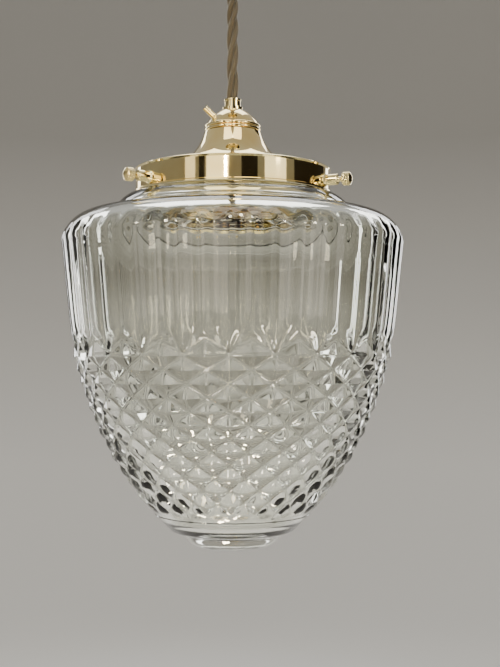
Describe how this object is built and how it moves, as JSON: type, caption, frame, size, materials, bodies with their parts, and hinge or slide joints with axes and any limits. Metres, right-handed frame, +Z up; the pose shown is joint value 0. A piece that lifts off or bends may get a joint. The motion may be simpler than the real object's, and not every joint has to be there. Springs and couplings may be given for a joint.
{
  "type": "pendant ceiling light",
  "caption": "Ceiling pendant with a clear pressed-glass acorn shade, fluted above and diamond-cut below, held by thumb screws in a polished brass gallery on a braided flex.",
  "frame": {"origin": "centre of the ceiling plate's top face, between the two fixing holes", "axes": "+Z up into the ceiling along the lamp's axis, +X through the two fixing holes"},
  "size_m": [0.189, 0.189, 0.4816],
  "materials": {
    "polished_brass": "mirror polished and lacquered",
    "machined_brass": "turned, bare",
    "zinc_plated_steel": "pressed and zinc plated",
    "spring_steel": "drawn wire",
    "pressed_glass": "clear pressed glass, fire polished",
    "braided_flex": "rayon braid over three twisted cores",
    "phenolic": "compression moulded",
    "nylon": "moulded",
    "core_brown": "extruded",
    "core_blue": "extruded",
    "core_green": "extruded"
  },
  "bodies": {
    "ceiling_rose": {"ceiling_plate": "zinc_plated_steel", "rose_cover": "polished_brass", "cover_screws": "polished_brass", "ceiling_cord_grip": "polished_brass", "ceiling_grip_locknut": "polished_brass", "ceiling_grip_screw": "nylon", "ceiling_grip_bush": "nylon", "rose_terminal_block": "phenolic", "rose_terminal_posts": "machined_brass", "rose_terminal_screws": "machined_brass", "rose_earth_terminal": "machined_brass", "rose_live_core": "core_brown", "rose_neutral_core": "core_blue", "rose_earth_core": "core_green", "flex_upper_tail": "braided_flex"},
    "flex": {"flex": "braided_flex"},
    "lamp": {"flex_lower_tail": "braided_flex", "lampholder_cap": "polished_brass", "neck_bush": "nylon", "earth_terminal_screw": "polished_brass", "earth_terminal_nut": "polished_brass", "lampholder_barrel": "polished_brass", "contact_insulator": "phenolic", "plunger_spring_left": "spring_steel", "plunger_spring_right": "spring_steel", "terminal_left": "machined_brass", "terminal_right": "machined_brass", "terminal_screws": "machined_brass", "live_core": "core_brown", "neutral_core": "core_blue", "earth_core": "core_green", "gallery_bell": "polished_brass", "gallery_ring": "polished_brass", "upper_shade_ring": "polished_brass", "lower_shade_ring": "polished_brass", "gallery_bosses": "polished_brass", "glass_shade": "pressed_glass"},
    "plunger_left": {"contact_plunger_left": "machined_brass"},
    "plunger_right": {"contact_plunger_right": "machined_brass"},
    "pad_back": {"screw_pad_back": "nylon"},
    "screw_back": {"gallery_screw_back": "polished_brass"},
    "pad_left": {"screw_pad_left": "nylon"},
    "screw_left": {"gallery_screw_left": "polished_brass"},
    "pad_right": {"screw_pad_right": "nylon"},
    "screw_right": {"gallery_screw_right": "polished_brass"}
  },
  "joints": [
    {"name": "flex_swing", "type": "hinge", "parent": "ceiling_rose", "child": "flex", "pos_m": [0, 0, -0.049], "axis": [0, 1, 0], "range_deg": [-12, 12]},
    {"name": "lamp_tilt", "type": "hinge", "parent": "flex", "child": "lamp", "pos_m": [0, 0, -0.235], "axis": [1, 0, 0], "range_deg": [-12, 12]},
    {"name": "push_left", "type": "slide", "parent": "lamp", "child": "plunger_left", "axis": [0, 0, 1], "range_m": [0, 0.003], "stiffness_N_per_m": 600, "springref_m": -0.004, "deforming": ["plunger_spring_left"]},
    {"name": "push_right", "type": "slide", "parent": "lamp", "child": "plunger_right", "axis": [0, 0, 1], "range_m": [0, 0.003], "stiffness_N_per_m": 600, "springref_m": -0.004, "deforming": ["plunger_spring_right"]},
    {"name": "screw_travel_back", "type": "slide", "parent": "lamp", "child": "pad_back", "axis": [0, 1, 0], "range_m": [0, 0.0035]},
    {"name": "screw_turn_back", "type": "hinge", "parent": "pad_back", "child": "screw_back", "pos_m": [0, 0, -0.2808], "axis": [0, 1, 0], "range_deg": [0, 1801]},
    {"name": "screw_travel_left", "type": "slide", "parent": "lamp", "child": "pad_left", "axis": [-0.866, -0.5, 0], "range_m": [0, 0.0035]},
    {"name": "screw_turn_left", "type": "hinge", "parent": "pad_left", "child": "screw_left", "pos_m": [0, 0, -0.2808], "axis": [-0.866, -0.5, 0], "range_deg": [0, 1801]},
    {"name": "screw_travel_right", "type": "slide", "parent": "lamp", "child": "pad_right", "axis": [0.866, -0.5, 0], "range_m": [0, 0.0035]},
    {"name": "screw_turn_right", "type": "hinge", "parent": "pad_right", "child": "screw_right", "pos_m": [0, 0, -0.2808], "axis": [0.866, -0.5, 0], "range_deg": [0, 1801]}
  ],
  "couplings": [
    {"joint": "screw_turn_back", "follows": "screw_travel_back", "rad_per_m": 8976},
    {"joint": "screw_turn_left", "follows": "screw_travel_left", "rad_per_m": 8976},
    {"joint": "screw_turn_right", "follows": "screw_travel_right", "rad_per_m": 8976}
  ]
}
